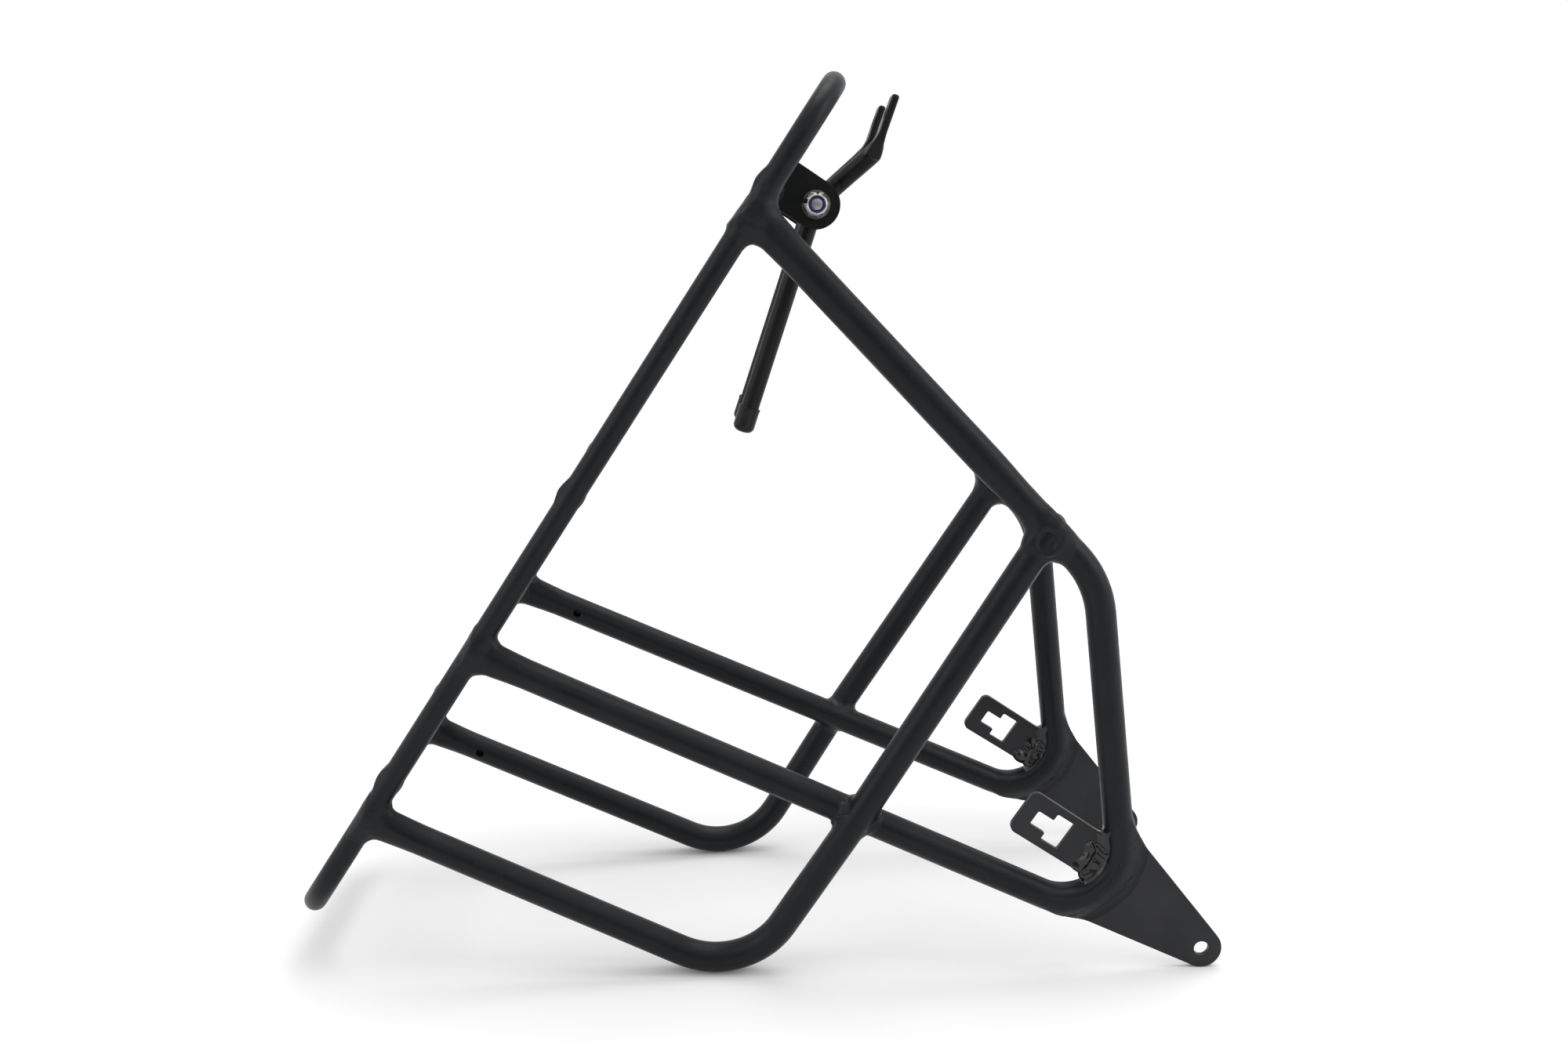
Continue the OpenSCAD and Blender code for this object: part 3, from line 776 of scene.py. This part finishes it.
def oval_end(top, below, across, wide, thin):
    """A tube's end under the platform: squashed at the top, wide by thin further down."""
    d = unit(below - top)
    e2 = unit(across - d * (across @ d))
    e1 = np.cross(e2, d)

    def field(p):
        q = p - top
        a, b = squash(q @ d, wide, thin)
        u, v = q @ e1, q @ e2
        level = np.maximum(np.hypot(u / a, v / b), 1e-6)
        r = np.hypot(u, v)
        return np.maximum(r - r / level, -(q @ d) - 0.5)
    return field


def fuller_on_top(p, out, first, rest):
    """The cross tubes are welded from above; underneath only a thin bead shows."""
    share = smooth(p[:, 2] / 6 + 0.5)
    return share * out + (1 - share) * smin(first, rest, 2.0)


def cross_welds(side, word):
    for i, x in enumerate(CROSS_X):
        centre, reach = (x, side * (HALF_WIDTH - 4), 0), 11.5
        seed = 11 + i * 3 + side
        field = blended([side_tube(side), cross_tube(x)], 4.8, centre, reach, 0.08, 0.14, seed, fuller_on_top)
        weld("%s_cross_weld_%d" % (word, i + 1), field, centre, reach, WELD_CELL, "platform_weld_beads")


def tube_end_welds(side, word):
    """Where the leg's two ends and the rail's rear end meet the platform's side tube."""
    out = in_leg_plane([(0, 1, 0)], side)[0] - in_leg_plane([(0, 0, 0)], side)[0]
    legs, rails = in_leg_plane(LEG_BEND, side), rail_points(side)
    ends = (("leg_front", legs[0], legs[3], out, OVAL_WIDE, OVAL_THIN, 8.0, 18),
            ("leg_rear", legs[-1], legs[-4], out, FRAME_R, FRAME_R, 5.8, 15),
            ("rail_rear", rails[-1], rails[-4], ALONG_Y, FRAME_R, FRAME_R, 5.8, 15))
    for i, (which, top, below, across, wide, thin, k, reach) in enumerate(ends):
        centre = top + unit(below - top) * 5
        parts = [side_tube(side), oval_end(top, below, across, wide, thin)]
        field = blended(parts, k, centre, reach, 0.1, 0.22, 41 + i * 5 + side)
        weld("%s_%s_weld" % (word, which), field, centre, reach, WELD_CELL, word + "_weld_beads")


def curled_rim(centre, along, side, legs):
    """The weld curled round the rail's end on its outer face: a lobe, a dish and a raised rim.

    The leg keeps its outline on the side away from the rail.
    """
    rim_r, rim_bead, dish_r, lobe_r = 5.4, 1.05, 6.6, 2.9
    across = ALONG_Y * side
    d = unit(along)
    e = np.cross(ALONG_Y, d) * side
    ring = centre - d * 6.2
    rim = [ring + across * (6.2 + 0.3 * math.cos(a)) + rim_r * (d * math.cos(a) + e * math.sin(a))
           for a in np.radians(range(-140, 66, 12))]
    dish = ring + across * 12.0 + d * 0.5
    lobe = ring - d * 4.0 + e * 4.6 + across * 2.8
    near = legs[np.linalg.norm(legs - centre, axis=1) < 45] * (1, 0, 1)
    t = unit(near[-1] - near[0])
    away = unit(d - t * (d @ t))

    def extra(p, out, first, rest):
        out = smin(out, d_ball(p, lobe, lobe_r), 4.0)
        out = smax(out, -d_ball(p, dish, dish_r), 1.4)
        out = smin(out, d_path(p, rim, rim_bead), 0.7)
        outline = d_path(p * (1, 0, 1), near, FRAME_R + 0.25)
        return smax(out, outline - 14 * smooth(-((p - centre) @ away) / 6), 1.0)
    return extra


def rail_welds(side, word):
    """Where the rail's front end meets the leg, and where the rail crosses the leg."""
    legs, rails = in_leg_plane(LEG_BEND, side), rail_points(side)
    front, reach = rails[0], 19
    extra = curled_rim(front, rails[0] - rails[1], side, legs)
    parts = [near_path(legs, front, 45), near_path(rails, front, 42)]
    field = blended(parts, 9.0, front, reach, 0.06, 0.3, 71 + side, extra)
    weld(word + "_rail_front_weld", field, front, reach, WELD_CELL, word + "_weld_beads")

    cross = np.array(RAIL_PATH[1], float) * (1, side, 1)
    centre, reach = cross - (0, side * 3, 0), 17
    ripple, lumps = (0.3, 0.5) if side == RIGHT else (0.1, 0.15)
    parts = [near_path(legs, cross, 60), near_path(rails, cross, 48)]
    field = blended(parts, 4.6, centre, reach, ripple, lumps, 81 + side)
    weld(word + "_crossing_weld", field, centre, reach, CROSSING_CELL, word + "_weld_beads")


def tab_lumps(seed):
    """Molten-looking, creased lumps over the strap tab's root."""
    rng = np.random.RandomState(seed)
    blobs = []
    for a in np.linspace(-120, -62, 5):
        for face in (-1, 1):
            for back in (0.0, 5.5):
                at = math.radians(a + rng.uniform(-6, 6))
                reach = TIGHT_R - FRAME_R - back - rng.uniform(0.0, 2.5)
                out = face * rng.uniform(0.0, 0.9)
                size = rng.uniform(2.4, 4.0) - 0.05 * back
                x, z = BEND[0] + reach * math.cos(at), BEND[1] + reach * math.sin(at)
                if abs(x - TAB_X) < TAB_WIDTH / 2 and z < SLOT_END - 1.5:
                    blobs.append((np.array((x, out, z)), size))

    def extra(p, out, first, rest):
        q = p + 1.3 * np.column_stack([wobble(p, 11.0, seed + i) for i in range(3)])
        for at, size in blobs:
            out = smin(out, d_ball(q, at, size), 0.5)
        return out
    return extra


def bend_welds(side, word):
    """In the leg's plane: the dropout plate outside the tight bend, the strap tab inside it."""
    tube = near_path(LEG_BEND, np.array((BEND[0], 0, BEND[1])), 62)
    band, thick = TIGHT_R + FRAME_R + 8.0, 6.4
    centre, reach = (BEND[0], 0, BEND[1] + 2), 40
    parts = [tube, flat_sheet(dropout_outline())]
    whole = blended(parts, 7.5, centre, reach, 0.10, 0.16, 91 + side)

    def along_the_weld(p):
        """Only the band at the weld; the plate's own sheet carries on beyond it."""
        beyond = np.hypot(p[:, 0] - BEND[0], p[:, 2] - BEND[1]) - band
        return np.maximum(whole(p), np.maximum(beyond, np.abs(p[:, 1]) - thick))
    weld(word + "_plate_weld", along_the_weld, centre, reach, COARSE_CELL, word + "_weld_beads", side)

    centre, reach = (TAB_X, 0, BEND[1] - 15), 17
    parts = [tube, flat_sheet(tab_outline())]
    field = blended(parts, 4.0, centre, reach, 0.08, 0.3, 97 + side, tab_lumps(31 + side))
    weld(word + "_tab_weld", field, centre, reach, COARSE_CELL, word + "_weld_beads", side, LUMP_COAT)


def bracket_weld(side, word):
    y = side * (BRACKET_IN + BRACKET_SHEET / 2)

    def tongue(p):
        flat = np.maximum(np.abs(p[:, 0] - PIVOT[0]) - BRACKET_R, np.maximum(p[:, 2], PIVOT[1] - p[:, 2]))
        return np.maximum(flat, np.abs(p[:, 1] - y) - BRACKET_SHEET / 2)
    centre, reach = (CROSS_X[0], y, -1), 8.5
    field = blended([cross_tube(CROSS_X[0]), tongue], 3.4, centre, reach, 0.1, 0.2, 103 + side)
    weld(word + "_bracket_weld", field, centre, reach, SMALL_CELL, "platform_weld_beads")


for side, word in SIDES:
    cross_welds(side, word)
    tube_end_welds(side, word)
    rail_welds(side, word)
    bend_welds(side, word)
    bracket_weld(side, word)


# ---------------------------------------------------------------- pivot hardware

PIVOT_AT = np.array((PIVOT[0], 0.0, PIVOT[1]))
# Half the clamped stack, from the middle to the outer washer's outer face
CLAMP = BRACKET_IN + BRACKET_SHEET + WASHER_THICK
NUT_END = -CLAMP - NUT_HEIGHT
COLLAR_R, SEAT_R, LIP_R, LIP_BEAD = 4.3, 3.6, 4.0, 0.44


def turned(profile, segments=TURNED_SEGMENTS):
    """A closed profile [(y, radius)] turned about the pivot's axis."""
    return lathe(profile, PIVOT_AT, ALONG_Y, (1, 0, 0), segments)


def ring_profile(y0, y1, outer, inner, e):
    """A washer or sleeve from y0 up to y1, its edges rounded by e. From y0 down to y1 they stand proud."""
    return [(y0, inner + e), (y0 + e, inner), (y1 - e, inner), (y1, inner + e),
            (y1, outer - e), (y1 - 0.3 * e, outer - 0.3 * e), (y1 - e, outer),
            (y0 + e, outer), (y0 + 0.3 * e, outer - 0.3 * e), (y0, outer - e)]


def hex_part(y_face, height, direction, bore=None):
    """A chamfered hexagon outward from y_face: with a bore a lock nut with its collar, else a bolt's head."""
    seg, across = HEX_SEGMENTS, NUT_FLATS / 2
    point = across / math.cos(math.radians(30)) * 1.001
    degrees = np.arange(seg) * 360 / seg
    hexagon = across / np.cos(np.radians(degrees % 60 - 30))
    rows = [(0, np.full(seg, bore or AXIS_R)), (0, np.minimum(hexagon, across * 0.985))]
    rows += [(z, np.minimum(hexagon, across * 0.985 + z * 1.5)) for z in (0.25, 0.55)]
    rows += [(height - 1.0 + t, np.minimum(hexagon, point - t * 1.25)) for t in (0.0, 0.35, 0.7, 1.0)]
    if bore:
        seat_top, seat_floor = NUT_HEIGHT - 0.6, NUT_HEIGHT - 1.5
        rest = ((height + 0.02, COLLAR_R + 0.3), (height + 0.25, COLLAR_R), (seat_top, COLLAR_R),
                (seat_top, SEAT_R), (seat_floor, SEAT_R), (seat_floor, bore + 0.02))
    else:
        rest = ((height, point - 1.9), (height - 0.25, 2.6), (height - 0.25, AXIS_R))
    rows += [(z, np.full(seg, r)) for z, r in rest]
    verts, faces = [], []
    for i, (z, radii) in enumerate(rows):
        j = (i + 1) % len(rows)
        for k, (a, r) in enumerate(zip(np.radians(degrees), radii)):
            m = (k + 1) % seg
            verts.append((PIVOT[0] + r * math.cos(a), y_face + direction * z, PIVOT[1] + r * math.sin(a)))
            faces.append((i * seg + k, i * seg + m, j * seg + m, j * seg + k))
    return verts, faces


def lip_profile():
    """The nut's edge, rolled in over the nylon ring."""
    foot = NUT_END + 0.7
    top = [(NUT_END + LIP_BEAD - LIP_BEAD * math.sin(a), LIP_R + LIP_BEAD * math.cos(a))
           for a in np.radians(range(0, 181, 20))]
    return [(foot, LIP_R + LIP_BEAD)] + top + [(foot, LIP_R - LIP_BEAD)]


def bolt_profile():
    """The bolt from under its head to its end, with a groove each millimetre from one bracket on."""
    whole, root, pitch = BOLT_R - 0.02, BOLT_R - 0.36, 1.0
    tip = NUT_END + 0.3
    points = [(CLAMP + 0.4, AXIS_R), (CLAMP + 0.4, whole)]
    y = -BRACKET_IN
    while y > tip + 1.2:
        points += [(y, whole), (y - 0.45, root), (y - 0.55, root)]
        y -= pitch
    end = [(tip + 0.8, BOLT_R - 0.1), (tip + 0.12, BOLT_R - 0.56), (tip, BOLT_R - 0.8), (tip, AXIS_R)]
    return points + end


def hardware(name, shape, material, slot, node, sharp):
    add_mesh(name, *shape, material, "frame", slot, node, sharp=sharp)


hardware("pivot_lock_nut", hex_part(-CLAMP, NUT_HEX, -1, BOLT_R), STEEL, "zinc_steel", "pivot_nut", 32)
# The rolled lip takes the steel with the painted highlight
hardware("nut_rolled_lip", turned(lip_profile(), HEX_SEGMENTS), NUT_LIP_PAINTED_HIGHLIGHT_STEEL, "zinc_steel", "pivot_nut", 50)
insert = ring_profile(NUT_END + 1.5, NUT_END + 0.5, SEAT_R - 0.02, BOLT_R - 0.5, 0.15)
hardware("nut_nylon_insert", turned(insert), NYLON, "blue_nylon", "nut_nylon_ring", 40)
hardware("pivot_bolt_head", hex_part(CLAMP, HEAD_HEIGHT, 1), STEEL, "zinc_steel", "pivot_bolt", 32)
hardware("pivot_bolt_shank", turned(bolt_profile()), BOLT_STEEL, "zinc_steel", "pivot_bolt", 40)
for side, word in SIDES:
    ends = sorted((side * (CLAMP - WASHER_THICK + 0.02), side * (CLAMP - 0.02)))
    outer = ring_profile(*ends, WASHER_R, BOLT_R + 0.2, 0.28)
    hardware(word + "_outer_washer", turned(outer), WASHER_STEEL, "zinc_steel", "outer_washers", 50)
    ends = sorted((side * (STAY_Y + EYE_HALF + 0.1), side * BRACKET_IN))
    inner = ring_profile(*ends, WASHER_R, BOLT_R + 0.2, 0.25)
    hardware(word + "_inner_washer", turned(inner), DARK_WASHER, "black_washer", "inner_washers", 50)
half_sleeve = STAY_Y - EYE_HALF - 0.1
sleeve = ring_profile(-half_sleeve, half_sleeve, 5.0, BOLT_R + 0.1, 0.4)
hardware("pivot_spacer_sleeve", turned(sleeve), DARK_WASHER, "black_washer", "pivot_spacer", 50)


# ---------------------------------------------------------------- stays

# The stay in its own axes: the pivot is the origin and +y is the side that it flares to
TAIL_DIR = np.array((-math.cos(TAIL_DROP), 0, -math.sin(TAIL_DROP)))
ARM_DIR = np.array((math.cos(ARM_DROP), 0, -math.sin(ARM_DROP)))
BLADE_DIR = np.array((math.cos(RISE), 0, math.sin(RISE)))
BLADE_UP = np.array((-math.sin(RISE), 0, math.cos(RISE)))
ARM_END = ARM_DIR * ARM + (0, FLARE, 0)
ROD_PATH = bent([TAIL_DIR * TAIL, (0, 0, 0), ARM_DIR * FLARE_START, ARM_END], (0, 12, 8, 0), 8, 14)
# The blade's neck starts this far before the arm's end, its inner face at NECK_INNER and its outer at HEEL
NECK_START, NECK_INNER, HEEL = 3.0, 3.9, 2.5
STAY_CELL = 0.5


def d_rod(p):
    """The round rod, cut square at the tail's end."""
    tail = d_bar(p, ROD_PATH[0] + TAIL_DIR * ROD_R, ROD_PATH[1], ROD_R)
    tail = np.maximum(tail, (p - TAIL_DIR * TAIL) @ TAIL_DIR)
    return np.minimum(d_path(p, ROD_PATH[1:], ROD_R), tail)


def d_eye(p, reach):
    """The rod with its eye, pressed flat round the bolt and easing back to the round rod."""
    eases_from, eases_over, round_from = 7.4, 6.0, 13.0
    eased = 4.2 * smooth((reach - eases_from) / eases_over)
    half = EYE_HALF + eased + 1.3 * np.maximum(reach - round_from, 0)
    disc = smax(reach - EYE_R, np.abs(p[:, 1]) - EYE_HALF, 0.7)
    return smax(smin(d_rod(p), disc, 2.4), np.abs(p[:, 1]) - half, 0.6)


def d_blade(along, across, high):
    """The arm's end, pressed into a flat blade with a hole."""
    t = smooth((along + NECK_START) / (BLADE_NECK + 2 * NECK_START))
    wide = ROD_R + (BLADE_WIDE / 2 - ROD_R) * smooth((along + NECK_START) / (BLADE_NECK + NECK_START))
    inner, outer = (start + (BLADE_THICK / 2 - start) * t for start in (NECK_INNER, HEEL))
    flat = smax(np.abs(across) - wide, np.maximum(high - inner, -high - outer), 1.3)
    blade = smax(flat, np.abs(along - BLADE_LONG / 2 + 1.5) - BLADE_LONG / 2 - 1.5, 1.2)
    return smax(blade, BLADE_HOLE / 2 - np.hypot(along - BLADE_HOLE_AT, across), 0.5)


def stay_field(p):
    reach = np.hypot(p[:, 0], p[:, 2])
    q = p - ARM_END
    along, across, high = q @ BLADE_DIR, q[:, 1], q @ BLADE_UP
    # the outer side of the bend is pressed flush with the blade
    arm = smax(d_eye(p, reach), -high - HEEL, 0.9)
    return smax(smin(arm, d_blade(along, across, high), 1.6), BORE_R - reach, 0.5)


def cap_profile():
    """A rubber cap: open end with a rolled rim, domed end, one faint mould line round it."""
    rim = [(0.15, 4.02), (0.0, 4.2), (0.0, 4.62), (0.25, 4.86), (0.9, 4.88), (1.5, 4.74), (8.3, 4.78)]
    dome = [(8.5 + 3.0 * math.sin(a), 1.84 + 2.96 * math.cos(a)) for a in np.radians(range(8, 91, 9))]
    return rim + dome + [(11.5, AXIS_R), (9.95, AXIS_R), (9.95, 4.0)]


rod_verts, rod_faces = surface(stay_field, (-104.0, -8.0, -32.0), (60.0, 20.0, 10.0), STAY_CELL)
for side, word in SIDES:
    at = PIVOT_AT + (0, side * STAY_Y, 0)
    add_mesh(word + "_stay_forging", rod_verts * (1, side, 1) + at, rod_faces, ROD_COAT,
             word + "_stay", "black_powder_coat", word + "_stay_rod")
    cap = lathe(cap_profile(), at + TAIL_DIR * (TAIL - 10), TAIL_DIR, np.cross(TAIL_DIR, ALONG_Y))
    add_mesh(word + "_rubber_cap", *cap, RUBBER, word + "_stay", "black_rubber", word + "_stay_cap")


# ---------------------------------------------------------------- floor, light and camera

FLOOR_HALF = 9.0
CARD_HALF, CARD_Y, CARD_FOOT, CARD_TOP = 0.75, -1.3, 0.02, 0.62
# The photo's camera in row axes, millimetres, found by fitting the tubes' lines
CAMERA_AT = (-2.546, -641.257, 327.087)
CAMERA_RIGHT = (0.99951, -0.02978, -0.00943)
CAMERA_LOOK = (0.02713, 0.9772, -0.21057)
CAMERA_LENS, SENSOR = 32.4, 36.0


def plane(name, corners, grey, ior=None):
    """A matt grey card that belongs to the studio, not to the part."""
    mat, _, shader, _ = new_material(name + "_paper")
    shader.inputs["Base Color"].default_value = (grey, grey, grey, 1)
    shader.inputs["Roughness"].default_value = 0.9
    if ior:
        shader.inputs["IOR"].default_value = ior
    mesh = bpy.data.meshes.new(name)
    mesh.from_pydata(corners, [], [(0, 1, 2, 3)])
    mesh.materials.append(mat)
    obj = bpy.data.objects.new(name, mesh)
    bpy.context.scene.collection.objects.link(obj)
    return obj


def soft_light(name, at, target, width, height, power):
    lamp = bpy.data.lights.new(name, "AREA")
    lamp.shape, lamp.size, lamp.size_y, lamp.energy = "RECTANGLE", width, height, power
    obj = bpy.data.objects.new(name, lamp)
    obj.location = at
    obj.rotation_mode = "QUATERNION"
    obj.rotation_quaternion = (Vector(target) - Vector(at)).to_track_quat("-Z", "Y")
    bpy.context.scene.collection.objects.link(obj)


def overhead_light():
    """Light from a wide patch of ceiling, for the soft shadow under the part."""
    sun = bpy.data.lights.new("overhead_softbox", "SUN")
    sun.energy, sun.angle = 1.5, math.radians(48)
    obj = bpy.data.objects.new("overhead_softbox", sun)
    obj.rotation_euler = (math.radians(-8), math.radians(8), 0)
    bpy.context.scene.collection.objects.link(obj)


def white_room():
    world = bpy.data.worlds.new("studio")
    world.use_nodes = True
    background = world.node_tree.nodes["Background"]
    background.inputs["Color"].default_value = (1, 1, 1, 1)
    background.inputs["Strength"].default_value = 1.0
    bpy.context.scene.world = world


def photo_camera():
    camera = bpy.data.objects.new("camera", bpy.data.cameras.new("camera"))
    camera.data.sensor_width = SENSOR
    camera.data.lens = CAMERA_LENS
    camera.data.clip_start, camera.data.clip_end = 0.02, 60
    back = -Vector(CAMERA_LOOK).normalized()
    up = back.cross(Vector(CAMERA_RIGHT)).normalized()
    pose = Matrix((up.cross(back), up, back)).transposed().to_4x4()
    pose.translation = Vector(CAMERA_AT) * MM
    camera.matrix_world = pose
    bpy.context.scene.collection.objects.link(camera)
    bpy.context.scene.camera = camera


plane("studio_floor", [(x * FLOOR_HALF, y * FLOOR_HALF, 0) for x, y in ((-1, -1), (1, -1), (1, 1), (-1, 1))],
      0.72, 1.05)
# The dark card darkens the tubes' reflections of the room towards the camera, and nothing else
card = plane("dark_flag_card", [(-CARD_HALF, CARD_Y, CARD_FOOT), (CARD_HALF, CARD_Y, CARD_FOOT),
                                (CARD_HALF, CARD_Y, CARD_TOP), (-CARD_HALF, CARD_Y, CARD_TOP)], 0.22)
card.visible_camera = card.visible_diffuse = card.visible_shadow = False
white_room()
middle = tuple((a + b) / 2 for a, b in zip(*cad_box))
soft_light("left_softbox", (-1.5, -0.7, 0.9), middle, width=0.9, height=1.2, power=4)
soft_light("right_softbox", (1.5, -0.5, 0.9), middle, width=0.9, height=1.2, power=7)
overhead_light()
photo_camera()
bpy.context.scene.view_settings.view_transform = "Standard"
